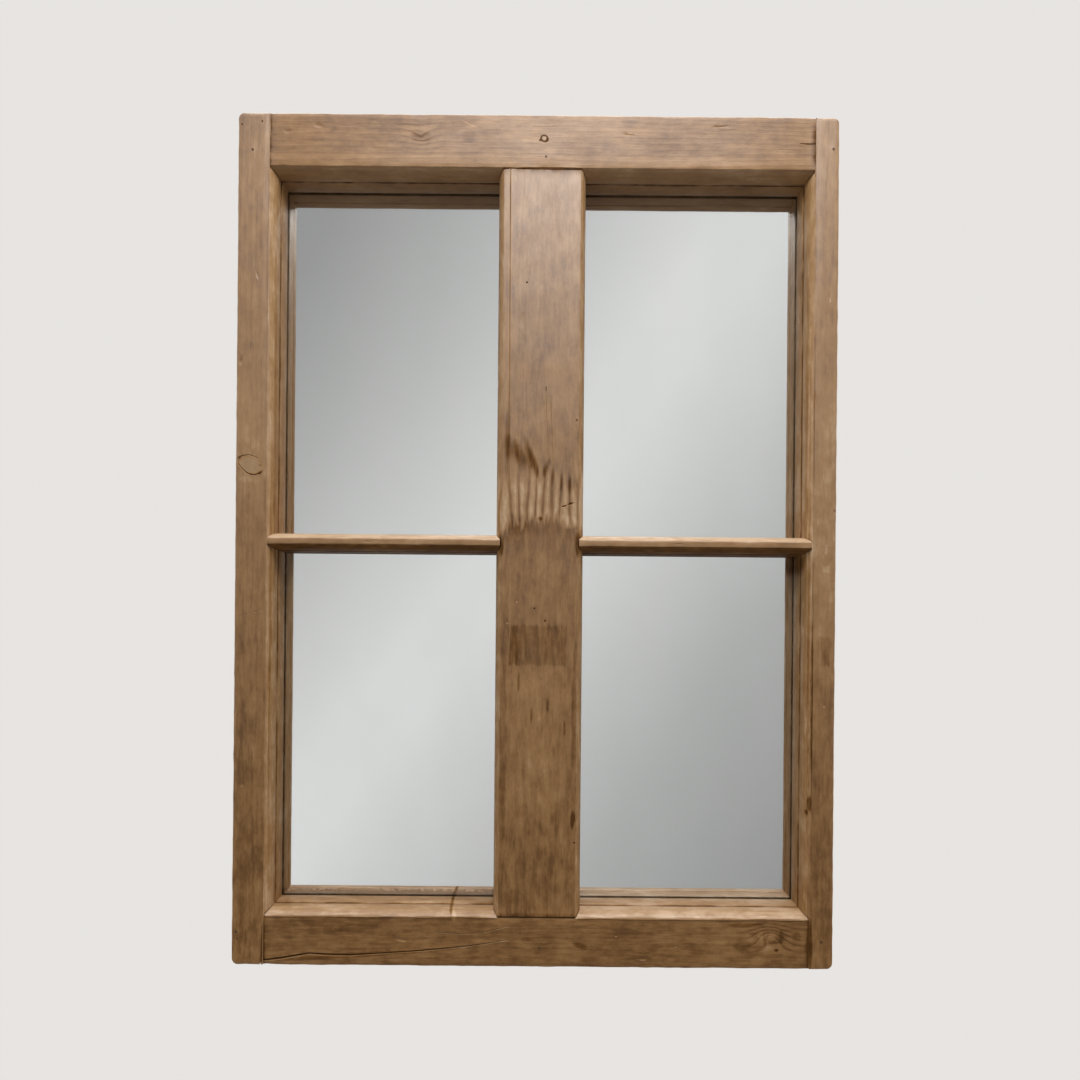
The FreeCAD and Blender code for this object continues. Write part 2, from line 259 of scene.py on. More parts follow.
def aroundKnot(tree, place, knot, curve="SPHERICAL"):
    rx, rz = (knot[key] * pineLook["knotReach"] for key in ("rx", "rz"))
    return oval(tree, place, knot["x"], knot["z"], rx, rz, knot["lean"], curve)


# Curl of crushed fibre over a bough: pale fingers above a dark dome
def curlOver(tree, place, curl, frays, tone):
    bough = put(tree, "ShaderNodeVectorMath", operation="LENGTH")
    plug(tree, mapped(tree, place, (-curl["x"], 0, -curl["z"]), scale=(1, 0, 1)), bough.inputs[0])
    lift = minus(tree, bough.outputs["Value"], curl["radius"])
    for part, share in zip(frays, curl["frays"]):
        lift = scaled(tree, part, share, minus(tree, lift, 0.5 * share))
    fingers = put(tree, "ShaderNodeTexWave", wave_type="BANDS", bands_direction="X")
    plug(tree, mapped(tree, place, scale=(1, 0.2, 0.22)), fingers.inputs["Vector"])
    for key, value in (("Scale", curl["pitch"]), ("Distortion", 5.0), ("Detail", 2.0), ("Detail Scale", 1.6)):
        fingers.inputs[key].default_value = value
    above = calc(tree, "DIVIDE", minus(tree, apart(tree, place)[2], curl["z"]), curl["fade"], clamp=True)
    overDome = ramp(tree, scaled(tree, lift, 8.0, 0.2), [(0.19, 0.0), (0.24, 1.0), (0.46, 0.9), (0.66, 0.0)])
    pale = ramp(tree, fingers.outputs["Fac"], [(0.0, 0.0), (0.35, 0.6), (1.0, 1.0)])
    pale = scaled(tree, pale, -0.50, 0.16)
    tone = scaled(tree, times(tree, times(tree, above, overDome), pale), curl["strength"], tone)
    dome = ramp(tree, scaled(tree, lift, 8.0, 0.6), [(0.05, 0.0), (0.45, 0.55), (0.575, 1.0), (0.605, 0.0)])
    return scaled(tree, times(tree, dome, above), curl["dome"], tone)


def pineFinish(name, figure):
    finish, tree, place = newFinish(name)
    look = pineLook
    upright = figure["grain"] == "up"
    log = mapped(tree, place, figure["heart"], (0, 0, 0) if upright else (0, -math.pi / 2, 0))

    # growth rings
    across = put(tree, "ShaderNodeVectorMath", operation="LENGTH")
    plug(tree, mapped(tree, log, scale=(1, 1, 0)), across.inputs[0])
    wander = grainCloud(tree, log, 10, 2.2, 2.0)
    shiver = grainCloud(tree, log, 85, 9, 3.0)
    field = scaled(tree, wander, figure["sway"], across.outputs["Value"])
    field = scaled(tree, shiver, 0.0032, field)
    swirls = figure.get("swirls", [])
    for knot in figure["knots"] + swirls:
        field = scaled(tree, aroundKnot(tree, place, knot, "QUADRATIC_SPHERE"), knot["push"], field)
    late = ramp(tree, calc(tree, "FRACT", calc(tree, "DIVIDE", field, figure["spacing"])), [
        (0.0, 0.05), (0.45, 0.2), (0.82, 0.92), (0.93, 1.0), (1.0, 0.05)], "EASE")
    ringed = minus(tree, late, 0.4)

    # the rings fade in and out; fibres, streaks, smudges and clouds lie over them
    fibre = grainCloud(tree, log, 700, 60, 4.0, 0.6)
    streak = grainCloud(tree, log, 310, 38, 3.0, 0.55, (3.1, 0, 0))
    cloud = grainCloud(tree, log, 38, 20, 4.0, 0.6, (0, 4.7, 0))
    blotch = grainCloud(tree, log, 80, 44, 4.0, 0.6, (9, 1, 4))
    mottle = grainCloud(tree, log, 160, 90, 5.0, 0.7, (2, 6, 1))
    shown = ramp(tree, grainCloud(tree, log, 26, 6, 2.0, shift=(5, 2, 1)), [(0.40, 0.15), (0.62, 1.0)])
    smudge = ramp(tree, grainCloud(tree, log, 62, 34, 4.0, 0.6, (8, 3, 5)), [(0.54, 0.0), (0.74, 1.0)])
    scrape = ramp(tree, grainCloud(tree, log, 150, 20, 3.0, 0.55, (4, 8, 9)), [(0.56, 0.0), (0.72, 1.0)])
    fleck = ramp(tree, grainCloud(tree, log, 420, 42, 2.0, shift=(7, 0, 2)), [(0.66, 0.0), (0.76, 1.0)])

    tone = scaled(tree, times(tree, ringed, shown), figure["contrast"], 0.5 + figure.get("shift", 0.0))
    _, depth, level = apart(tree, place)
    high = calc(tree, "DIVIDE", plus(tree, level, look["highFrom"]), look["highOver"], clamp=True)
    marks = scaled(tree, fibre, look["fibre"], -0.5 * look["fibre"])
    for part, share in ((streak, "streak"), (cloud, "cloud"), (blotch, "blotch"), (mottle, "mottle")):
        marks = plus(tree, marks, scaled(tree, part, look[share], -0.5 * look[share]))
    for part, share in ((fleck, "fleck"), (smudge, "smudge"), (scrape, "scrape")):
        marks = scaled(tree, part, look[share], marks)
    # towards the top the marks are calmer and the tone is painted paler: painted light falling from above
    tone = plus(tree, tone, times(tree, marks, scaled(tree, high, look["calmHigh"], 1.0)))
    tone = scaled(tree, high, look["paintedLightHigh"], plus(tree, tone, look["darker"]))

    # end grain drinks the wax and goes dark, and the back was never waxed
    facing = normalParts(tree)
    endGrain = calc(tree, "ABSOLUTE", facing[2 if upright else 0])
    endGrain = ramp(tree, endGrain, [(0.75, 0.0), (0.95, 1.0)])
    tone = scaled(tree, endGrain, look["endGrain"], tone)
    tone = scaled(tree, ramp(tree, facing[1], [(0.6, 0.0), (0.9, 1.0)]), look["bareBack"], tone)

    # the cheeks of the uprights are painted paler: painted light on the side faces
    paintedCheekLight = ramp(tree, calc(tree, "ABSOLUTE", facing[0 if upright else 1]), [
        (0.35, 0.0), (0.85, 1.0 if upright else 0.0)])
    tone = scaled(tree, paintedCheekLight, look["paintedCheekLight"], tone)

    # what faces the sky is painted paler: painted light from above
    paintedSkyLight = ramp(tree, facing[2], [(0.25, 0.0), (0.80, 1.0)])
    tone = scaled(tree, paintedSkyLight, look["paintedSkyLight"], tone)
    figured = tone
    # downward faces: painted shade under the glazing bars, painted light under the top rail
    if "paintedUnderside" in figure:
        below = ramp(tree, times(tree, facing[2], -1.0), [(0.25, 0.0), (0.65, 1.0)])
        tone = scaled(tree, below, figure["paintedUnderside"], tone)

    # rubbed arrises go pale and dirt darkens the joints; the quirks and the deep rebate by the panes are
    # darkened as painted shade
    worn = put(tree, "ShaderNodeAttribute", attribute_name="rubbed").outputs["Fac"]
    grimeAndShade = put(tree, "ShaderNodeAttribute", attribute_name="grimeAndShade").outputs["Fac"]
    patchy = ramp(tree, grainCloud(tree, log, 90, 40, 3.0, shift=(1, 9, 0)), [(0.38, 0.0), (0.62, 1.0)])
    tone = minus(tree, tone, times(tree, times(tree, worn, patchy), look["rubbed"]))
    tone = scaled(tree, times(tree, grimeAndShade, plus(tree, patchy, 0.5)), look["grimeAndShade"], tone)

    # the marks below lie on the front and the moulding alone
    plain = tone
    near = calc(tree, "DIVIDE", minus(tree, look["frontOnly"], depth), look["frontFade"], clamp=True)

    # grain that turns about a hidden knot
    for knot in swirls:
        around = times(tree, aroundKnot(tree, place, knot), 2.5, clamp=True)
        tone = scaled(tree, times(tree, ringed, around), knot["contrast"], tone)
    if "curl" in figure:
        tone = curlOver(tree, place, figure["curl"], (wander, shiver, streak), tone)

    # stains and ghosts of old ironwork, with a painted shadow under the right bar and painted light on the
    # lower right ledge
    for mark in figure["stains"]:
        spread = oval(tree, place, mark["x"], mark["z"], mark["rx"], mark["rz"], mark["lean"])
        fray = scaled(tree, streak, mark["ragged"], -0.5 * mark["ragged"])
        fray = times(tree, times(tree, spread, 4.0, clamp=True), fray)
        edge = ramp(tree, plus(tree, spread, fray), [(0.05, 0.0), (mark["to"], 1.0)])
        tone = scaled(tree, edge, mark["dark"], tone)
    for mark in figure.get("patches", []):
        ghost = patch(tree, place, *mark["box"], mark["soft"], streak)
        brushed = ramp(tree, streak, [(0.30, 0.60), (0.65, 1.0)])
        tone = scaled(tree, times(tree, ghost, brushed), mark["dark"], tone)

    tone = scaled(tree, minus(tree, tone, plain), near, plain)
    colour = ramp(tree, tone, pineTones)

    # knots: a dark rim of bark round a redder heart
    clean = ramp(tree, minus(tree, tone, figured), [(0.08, 1.0), (0.34, 0.1)])
    for knot in figure["knots"]:
        core = oval(tree, place, knot["x"], knot["z"], knot["rx"], knot["rz"], knot["lean"])
        fray = times(tree, times(tree, core, 5.0, clamp=True), scaled(tree, shiver, 0.36, -0.18))
        core = times(tree, plus(tree, core, fray), near)
        inside = ramp(tree, core, [(0.0, 0.0), (0.10, 1.0)])
        thick = knot["thick"]
        rim = ramp(tree, core, [(0.0, 0.0), (0.06, 1.0), (0.06 + thick * 0.5, 1.0), (0.10 + thick, 0.0)])
        colour = tint(tree, times(tree, inside, knot["heart"]), colour, knot["colour"])
        colour = tint(tree, times(tree, rim, knot["rim"]), colour, look["bark"])
        clean = times(tree, clean, scaled(tree, rim, -0.95, 1.0))

    height = scaled(tree, late, 0.5, times(tree, fibre, 0.6))
    height = minus(tree, height, times(tree, fleck, 0.6))

    # wax: most at the top, worn away lower down and dull in the dirt
    gloss = scaled(tree, cloud, 0.20, scaled(tree, fibre, 0.14, 0.34))
    wax = calc(tree, "MAXIMUM", times(tree, high, figure.get("wax", 1.0)), times(tree, paintedSkyLight, 0.9))
    wax = times(tree, times(tree, wax, clean), scaled(tree, paintedCheekLight, -0.75, 1.0))
    sheen = scaled(tree, wax, look["waxSheen"], times(tree, clean, look["woodSheen"]))
    surface(tree, Base_Color=colour, Roughness=gloss, Specular_IOR_Level=sheen, Coat_Weight=wax,
            Coat_Roughness=plus(tree, gloss, 0.02), Normal=lumps(tree, height, 0.45, look["relief"]))
    return finish


# Cutters for the marks of age

# A crack runs across or up, through points of place, width and depth
def crackCutter(run, *points):
    x0, z0, wide, deep = points[0]
    across = run == "across"
    deselectAll()
    bpy.ops.mesh.primitive_circle_add(vertices=4, radius=1, fill_type="NGON", location=(x0, frontPlane, z0),
                                      rotation=(0, math.pi / 2, 0) if across else (0, 0, 0))
    cutter = newPiece("crack_cutter")
    settle(cutter)
    openMesh(cutter, "FACE")
    bpy.ops.mesh.select_all(action="SELECT")
    size = (1, deep, wide / 2) if across else (wide / 2, deep, 1)
    bpy.ops.transform.resize(value=size, center_override=(x0, frontPlane, z0))
    for x, z, width, depth in points[1:]:
        bpy.ops.mesh.extrude_region_move(TRANSFORM_OT_translate={"value": (x - x0, 0, z - z0)})
        grow, sink = width / wide, depth / deep
        size = (1, sink, grow) if across else (grow, sink, 1)
        bpy.ops.transform.resize(value=size, center_override=(x, frontPlane, z))
        x0, z0, wide, deep = x, z, width, depth
    bpy.ops.mesh.select_all(action="SELECT")
    bpy.ops.mesh.normals_make_consistent(inside=False)
    closeMesh()
    return cutter


def holeCutter(x, z, radius, depth):
    deselectAll()
    taper, turn = 0.45, random.uniform(0, 3)
    bpy.ops.mesh.primitive_cone_add(vertices=9, radius1=radius, radius2=radius * taper, depth=depth * 2,
                                    location=(x, frontPlane, z), rotation=(-math.pi / 2, turn, 0))
    cutter = newPiece("hole_cutter")
    settle(cutter)
    return cutter


def dentCutter(x, z, long, wide, depth, lean):
    deselectAll()
    bpy.ops.mesh.primitive_ico_sphere_add(subdivisions=2, radius=1, location=(0, 0, 0))
    cutter = newPiece("dent_cutter")
    ball, standOff = depth * 4, depth * 3
    cutter.scale = (long, ball, wide)
    cutter.rotation_euler = (0, lean, 0)
    cutter.location = (x, frontPlane - standOff, z)
    settle(cutter)
    return cutter


def cutWith(piece, cutters):
    takeUp(cutters[0])
    for cutter in cutters:
        cutter.select_set(True)
    if len(cutters) > 1:
        bpy.ops.object.join()
    cutter = cutters[0]
    takeUp(piece)
    cut = piece.modifiers.new("marks", "BOOLEAN")
    cut.operation = "DIFFERENCE"
    cut.solver = "MANIFOLD"
    cut.object = cutter
    bpy.ops.object.modifier_apply(modifier=cut.name)
    bpy.data.objects.remove(cutter)


# Timber members

shaping = {
    "merge": 1e-6, "flat": 0.002, "sharp": 50, "onFront": 1e-5, "shortest": 0.004, "arrisShape": 0.6,
    "along": 0.005, "clear": 0.0012, "deep": (-0.0550, -0.0500, -0.0440), "smooth": 34,
    "corner": 0.0095, "cornerCuts": (0.0008, 0.0018, 0.0030, 0.0043, 0.0060, 0.0078),
    "endZone": 0.420, "endDrop": 0.0008, "endReach": 0.009,
}


def timberFrom(nodeName, pieceName):
    deselectAll()
    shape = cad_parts[nodeName].data.copy()
    piece = bpy.data.objects.new(pieceName, shape)
    shape.name = pieceName
    bpy.context.scene.collection.objects.link(piece)
    takeUp(piece)
    bpy.ops.mesh.customdata_custom_splitnormals_clear()
    openMesh(piece)
    bpy.ops.mesh.select_all(action="SELECT")
    bpy.ops.mesh.remove_doubles(threshold=shaping["merge"])
    bpy.ops.mesh.dissolve_limited(angle_limit=shaping["flat"])
    bpy.ops.mesh.select_all(action="DESELECT")
    closeMesh()
    return piece


def softenArrises(piece, width):
    openMesh(piece)
    bpy.ops.mesh.edges_select_sharp(sharpness=math.radians(shaping["sharp"]))
    closeMesh()
    shape = piece.data
    for edge in shape.edges:
        a, b = (shape.vertices[i].co for i in edge.vertices)
        onFront = all(abs(end.y - frontPlane) < shaping["onFront"] for end in (a, b))
        edge.select = edge.select and onFront and (a - b).length > shaping["shortest"]
    openMesh(piece)
    bpy.ops.mesh.bevel(offset=width, segments=2, profile=shaping["arrisShape"])
    closeMesh()


def sliceAt(piece, axis, places):
    normal = [0, 0, 0]
    normal[axis] = 1
    openMesh(piece)
    for place in places:
        point = [0, 0, 0]
        point[axis] = place
        bpy.ops.mesh.select_all(action="SELECT")
        bpy.ops.mesh.bisect(plane_co=point, plane_no=normal)
    bpy.ops.mesh.select_all(action="DESELECT")
    closeMesh()


def steps(low, high, step):
    count = max(1, round((high - low) / step))
    return [low + (high - low) * k / count for k in range(1, count)]


def nearLine(co, line):
    axis, value = line
    return math.hypot(co[axis] - value, co.y - frontPlane)


wearReach = {
    "faceFrom": -0.040, "faceFade": 0.012, "joint": 0.006, "pin": 0.0016, "pinFade": 0.004,
    "arris": 0.0035, "rubbed": 0.006, "end": 0.0015,
    "deepFrom": -0.030, "deepFade": 0.008, "deepShare": 0.05, "jointGrime": 0.004, "jointShare": 0.7,
    "quirk": -0.037, "quirkHalf": 0.0020, "quirkClear": 0.003,
}


def between(value):
    return min(1.0, max(0.0, value))


# How far each point waves, knocks, rubs pale, gathers dirt in its joints and takes painted shade in the quirk
# and the deep rebate
def markWear(piece, member):
    shape = piece.data
    reach = wearReach
    face = piece.vertex_groups.new(name="face")
    arris = piece.vertex_groups.new(name="arris")
    rubbed, dirtAndShadeShares = [], []
    for v in shape.vertices:
        close = min(nearLine(v.co, line) for line in member["arrises"])
        joint = min([nearLine(v.co, line) for line in member["joints"]] + [1.0])
        pinned = min([math.hypot(v.co.x - x, v.co.z - z) for x, z in member["pins"]] + [1.0])
        front = between((reach["faceFrom"] - v.co.y) / reach["faceFade"])
        tight = min(1.0, joint / reach["joint"])
        free = between((pinned - reach["pin"]) / reach["pinFade"])
        face.add([v.index], front * free * tight, "REPLACE")
        if abs(v.co.z) > halfHeight - reach["end"]:
            tight = 1.0
        arris.add([v.index], max(0.0, 1 - close / reach["arris"]) * free * tight, "REPLACE")
        rubbed.append(max(0.0, 1 - close / reach["rubbed"]))
        # painted shade deep in the rebate and along the quirk, dirt in the joints
        deep = between((v.co.y - reach["deepFrom"]) / reach["deepFade"])
        quirk = max(0.0, 1 - abs(v.co.y - reach["quirk"]) / reach["quirkHalf"])
        if close <= reach["quirkClear"]:
            quirk = 0.0
        seam = max(0.0, 1 - joint / reach["jointGrime"])
        dirtAndShadeShares.append(max(reach["deepShare"] * deep, quirk, reach["jointShare"] * seam))
    for name, values in (("rubbed", rubbed), ("grimeAndShade", dirtAndShadeShares)):
        layer = shape.attributes.new(name, "FLOAT", "POINT")
        layer.data.foreach_set("value", values)


handPlaned = bpy.data.textures.new("hand_planed", "CLOUDS")
handPlaned.noise_scale = 0.045
handPlaned.noise_depth = 2
knocked = bpy.data.textures.new("knocked", "CLOUDS")
knocked.noise_scale = 0.014
knocked.noise_depth = 3


def weather(piece, wave, wear):
    takeUp(piece)
    marks = (("planing", handPlaned, "face", wave), ("knocks", knocked, "arris", wear))
    for name, pattern, group, depth in marks:
        press = piece.modifiers.new(name, "DISPLACE")
        press.texture = pattern
        press.texture_coords = "LOCAL"
        press.vertex_group = group
        press.mid_level = 1.0
        press.strength = depth
        bpy.ops.object.modifier_apply(modifier=press.name)
    piece.vertex_groups.clear()


# Keeps a member in its own box, lowers the rails' ends a little and rounds the frame's corners
def trim(piece, low, high, joints):
    radius = shaping["corner"]
    for v in piece.data.vertices:
        ends = [abs(v.co.x - value) for axis, value in joints if axis == 0]
        if ends and abs(v.co.z) > shaping["endZone"]:
            drop = shaping["endDrop"] * max(0.0, 1 - min(ends) / shaping["endReach"])
            v.co.z -= math.copysign(drop, v.co.z)
        for axis in range(3):
            v.co[axis] = min(high[axis], max(low[axis], v.co[axis]))
        inX, inZ = radius - (halfWidth - abs(v.co.x)), radius - (halfHeight - abs(v.co.z))
        reach = math.hypot(inX, inZ)
        if inX > 0 and inZ > 0 and reach > radius:
            pull = radius / reach
            v.co.x = math.copysign(halfWidth - radius + inX * pull, v.co.x)
            v.co.z = math.copysign(halfHeight - radius + inZ * pull, v.co.z)
    takeUp(piece)
    bpy.ops.object.shade_smooth_by_angle(angle=math.radians(shaping["smooth"]))


def makeMember(member):
    piece = timberFrom(member["node"], member["node"] + "_timber")
    softenArrises(piece, member["arrisWidth"])
    low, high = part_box(member["node"])
    alongAxis = 2 if member["grain"] == "up" else 0
    acrossAxis = 0 if member["grain"] == "up" else 2
    kept = [value for axis, value in member["arrises"] + member["joints"] if axis == acrossAxis]
    cuts = [cut for cut in steps(low[acrossAxis], high[acrossAxis], member["across"])
            if all(abs(cut - line) > shaping["clear"] for line in kept)]
    sliceAt(piece, alongAxis, steps(low[alongAxis], high[alongAxis], shaping["along"]))
    sliceAt(piece, acrossAxis, cuts)
    sliceAt(piece, 1, shaping["deep"])
    if "stile" in member["node"]:
        sliceAt(piece, 2, [end * (halfHeight - k) for end in (-1, 1) for k in shaping["cornerCuts"]])
        sliceAt(piece, 0, [math.copysign(halfWidth - k, low.x) for k in shaping["cornerCuts"]])
    cutters = [crackCutter(*crack) for crack in member["cracks"]]
    cutters += [holeCutter(*hole) for hole in member["holes"]]
    cutters += [dentCutter(*dent) for dent in member["dents"]]
    cutWith(piece, cutters)
    markWear(piece, member)
    weather(piece, member["wave"], member["wear"])
    trim(piece, low, high, member["joints"])
    putOn(piece, pineFinish(member["node"] + "_pine", member), "frame", "old_pine", member["node"])
    print(member["node"], "timber:", len(piece.data.polygons), "faces")


# A stain on the front: its middle, half sizes, change of tone, lean, ragged rim and where it is full
def stain(x, z, rx, rz, dark, lean=0.0, ragged=0.9, to=0.5):
    return {"x": x, "z": z, "rx": rx, "rz": rz, "dark": dark, "lean": lean, "ragged": ragged, "to": to}


leftStile = {
    "node": "left_stile", "grain": "up", "heart": (0.330, 0.020, 0.2), "spacing": 0.0042, "sway": 0.020,
    "contrast": 0.08,
    "arrises": [(0, -0.300), (0, -0.268), (2, 0.425), (2, -0.425)], "joints": [], "across": 0.004,
    "arrisWidth": 0.0006, "wave": 0.0006, "wear": 0.0013,
    "pins": [(-0.2850, 0.3872), (-0.2949, -0.3916)],
    "knots": [
        {"x": -0.2847, "z": 0.0733, "rx": 0.0090, "rz": 0.0130, "lean": 1.75, "push": 0.012, "thick": 0.14,
         "heart": 0.55, "rim": 0.0, "colour": (0.40, 0.245, 0.120)},
    ],
    "stains": [
        stain(-0.2885, -0.30, 0.016, 0.16, 0.10),
        stain(-0.2850, 0.10, 0.030, 0.090, -0.12),
        stain(-0.2655, -0.100, 0.0012, 0.290, 0.26, ragged=1.3, to=0.7),
        stain(-0.2638, 0.120, 0.0011, 0.260, 0.24, ragged=1.3, to=0.7),
        stain(-0.2750, 0.0730, 0.0022, 0.0016, 0.5, ragged=0.3),
        stain(-0.2962, 0.0800, 0.0030, 0.0022, 0.35, ragged=0.3),
        stain(-0.2750, 0.0655, 0.0040, 0.0020, 0.35, lean=-0.5, ragged=0.3),
        stain(-0.2890, 0.0590, 0.0100, 0.0045, -0.18, ragged=0.3),
    ],
    "cracks": [
        ("up", (-0.2688, -0.3850, 0.0004, 0.0008), (-0.2693, -0.4000, 0.0010, 0.0030),
         (-0.2700, -0.4140, 0.0014, 0.0040), (-0.2708, -0.4254, 0.0022, 0.0050)),
        ("across", (-0.2971, -0.0783, 0.0004, 0.0003), (-0.2851, -0.0744, 0.0006, 0.0004),
         (-0.2713, -0.0719, 0.0003, 0.0002)),
        ("across", (-0.2966, 0.0803, 0.0020, 0.0016), (-0.2928, 0.0826, 0.0014, 0.0014),
         (-0.2857, 0.0834, 0.0009, 0.0010), (-0.2786, 0.0810, 0.0009, 0.0009),
         (-0.2724, 0.0780, 0.0003, 0.0003)),
        ("across", (-0.2974, 0.0758, 0.0012, 0.0010), (-0.2928, 0.0693, 0.0020, 0.0016),
         (-0.2875, 0.0649, 0.0016, 0.0018), (-0.2813, 0.0634, 0.0015, 0.0018),
         (-0.2759, 0.0650, 0.0018, 0.0018), (-0.2724, 0.0678, 0.0006, 0.0005)),
    ],
    "holes": [(-0.2957, 0.4125, 0.0011, 0.003), (-0.2757, 0.4157, 0.0010, 0.003),
              (-0.2940, -0.3986, 0.0010, 0.002)],
    "dents": [(-0.2949, 0.1767, 0.003, 0.006, 0.0006, 0.3), (-0.2870, -0.205, 0.002, 0.008, 0.0004, 0.1),
              (-0.2790, 0.262, 0.002, 0.007, 0.0004, -0.2), (-0.2905, -0.245, 0.003, 0.004, 0.0005, 0.6)],
}
rightStile = {
    "node": "right_stile", "grain": "up", "heart": (-0.262, 0.006, 0.7), "spacing": 0.0036, "sway": 0.018,
    "contrast": 0.08, "shift": -0.01,
    "arrises": [(0, 0.300), (0, 0.276), (2, 0.425), (2, -0.425)], "joints": [], "across": 0.004,
    "arrisWidth": 0.0006, "wave": 0.0006, "wear": 0.0013,
    "pins": [(0.2933, 0.3926), (0.2880, -0.3970)],
    "knots": [],
    "stains": [
        stain(0.288, 0.030, 0.030, 0.170, -0.17),
        stain(0.288, -0.330, 0.030, 0.140, 0.08),
        stain(0.2742, -0.060, 0.0013, 0.300, 0.30, ragged=1.3, to=0.7),
        stain(0.2722, 0.040, 0.0012, 0.300, 0.26, ragged=1.3, to=0.7),
        # painted shadow cast by the right glazing bar on the stile's moulding
        stain(0.2695, -0.018, 0.0034, 0.020, 0.50, ragged=0.3),
        stain(0.2766, -0.150, 0.0014, 0.125, 0.55, ragged=0.8, to=0.6),
        stain(0.2766, 0.110, 0.0011, 0.120, 0.30, ragged=1.0, to=0.6),
        stain(0.2757, -0.260, 0.0022, 0.010, 0.50, ragged=0.4),
        stain(0.2738, -0.269, 0.0016, 0.0035, 0.40, ragged=0.4),
        stain(0.2725, -0.281, 0.0028, 0.010, -0.14, ragged=0.3),
        stain(0.2768, -0.404, 0.0032, 0.034, 0.40, ragged=0.5),
        stain(0.2978, 0.0328, 0.0020, 0.0022, 0.40, ragged=0.4),
    ],
    "patches": [
        {"box": (0.2835, 0.2955, -0.1236, -0.0920), "soft": 0.0026, "dark": 0.24},
        {"box": (0.2875, 0.2912, -0.0115, -0.0005), "soft": 0.0010, "dark": -0.24},
        {"box": (0.2850, 0.2940, -0.0300, -0.0215), "soft": 0.0010, "dark": -0.22},
    ],
    "cracks": [
        ("up", (0.2774, 0.1510, 0.0004, 0.0005), (0.2776, 0.1450, 0.0012, 0.0012),
         (0.2774, 0.1370, 0.0003, 0.0004)),
        ("up", (0.2772, -0.0200, 0.0003, 0.0003), (0.2771, -0.0750, 0.0008, 0.0007),
         (0.2773, -0.1420, 0.0013, 0.0012), (0.2771, -0.2000, 0.0008, 0.0007),
         (0.2772, -0.2550, 0.0003, 0.0003)),
    ],
    "holes": [],
    "dents": [(0.2870, -0.030, 0.0012, 0.008, 0.0004, 0.0), (0.2893, -0.0072, 0.001, 0.006, 0.0003, 0.0),
              (0.2885, -0.1615, 0.002, 0.003, 0.0005, 0.2), (0.2905, 0.245, 0.002, 0.008, 0.0004, -0.2)],
}
# open joints at the mullion's ends, cut in both members
mullionHead = ("across", (-0.0360, 0.3708, 0.0018, 0.0030), (-0.0100, 0.3710, 0.0022, 0.0040),
               (0.0200, 0.3710, 0.0026, 0.0040), (0.0440, 0.3708, 0.0020, 0.0030))
mullionFoot = ("across", (-0.0360, -0.3746, 0.0012, 0.0020), (0.0000, -0.3749, 0.0016, 0.0030),
               (0.0440, -0.3746, 0.0012, 0.0020))
topRail = {
    "node": "top_rail", "grain": "across", "heart": (0.350, 0.030, 0.3), "spacing": 0.0046, "sway": 0.026,
    "contrast": 0.06, "shift": 0.12, "wax": 0.45, "paintedUnderside": -0.26,
    "arrises": [(2, 0.425), (2, 0.3715)], "joints": [(0, -0.268), (0, 0.276)], "across": 0.004,
    "arrisWidth": 0.0006, "wave": 0.0007, "wear": 0.0012,
    "pins": [(0.0071, 0.3827)],
    "swirls": [
        {"x": -0.1176, "z": 0.4015, "rx": 0.011, "rz": 0.009, "lean": 0.3, "push": 0.007, "contrast": 0.16},
    ],
    "knots": [
        {"x": 0.0054, "z": 0.4009, "rx": 0.0045, "rz": 0.0038, "lean": 0.5, "push": 0.006, "thick": 0.62,
         "heart": 0.5, "rim": 0.95, "colour": (0.42, 0.26, 0.13)},
    ],
    "stains": [
        stain(-0.16, 0.416, 0.08, 0.012, 0.08),
        stain(-0.1176, 0.4022, 0.014, 0.010, 0.16, lean=0.4),
        stain(-0.0698, 0.4028, 0.010, 0.009, 0.12),
        stain(-0.0700, 0.4150, 0.012, 0.0011, -0.26, lean=0.45, ragged=0.2),
        stain(-0.0080, 0.4000, 0.012, 0.0035, -0.20, ragged=0.4),
        stain(0.0900, 0.4080, 0.060, 0.006, -0.10),
        stain(0.0016, 0.3994, 0.0022, 0.0016, 0.60, ragged=0.3),
        stain(0.0078, 0.3990, 0.0024, 0.0016, 0.50, ragged=0.3),
    ],
    "patches": [{"box": (-0.268, 0.276, 0.3715, 0.3845), "soft": 0.0016, "dark": -0.15}],
    "cracks": [
        ("across", (0.2600, 0.3983, 0.0003, 0.0005), (0.2684, 0.3978, 0.0008, 0.0020),
         (0.2779, 0.3977, 0.0012, 0.0030)),
        mullionHead,
    ],
    "holes": [(0.0078, 0.4006, 0.0007, 0.002)],
    "dents": [(-0.2192, 0.4115, 0.008, 0.0035, 0.0003, 0.1), (-0.251, 0.4061, 0.006, 0.004, 0.0003, 0.0),
              (0.090, 0.405, 0.010, 0.002, 0.0004, 0.1), (0.180, 0.414, 0.012, 0.002, 0.0004, -0.05)],
}
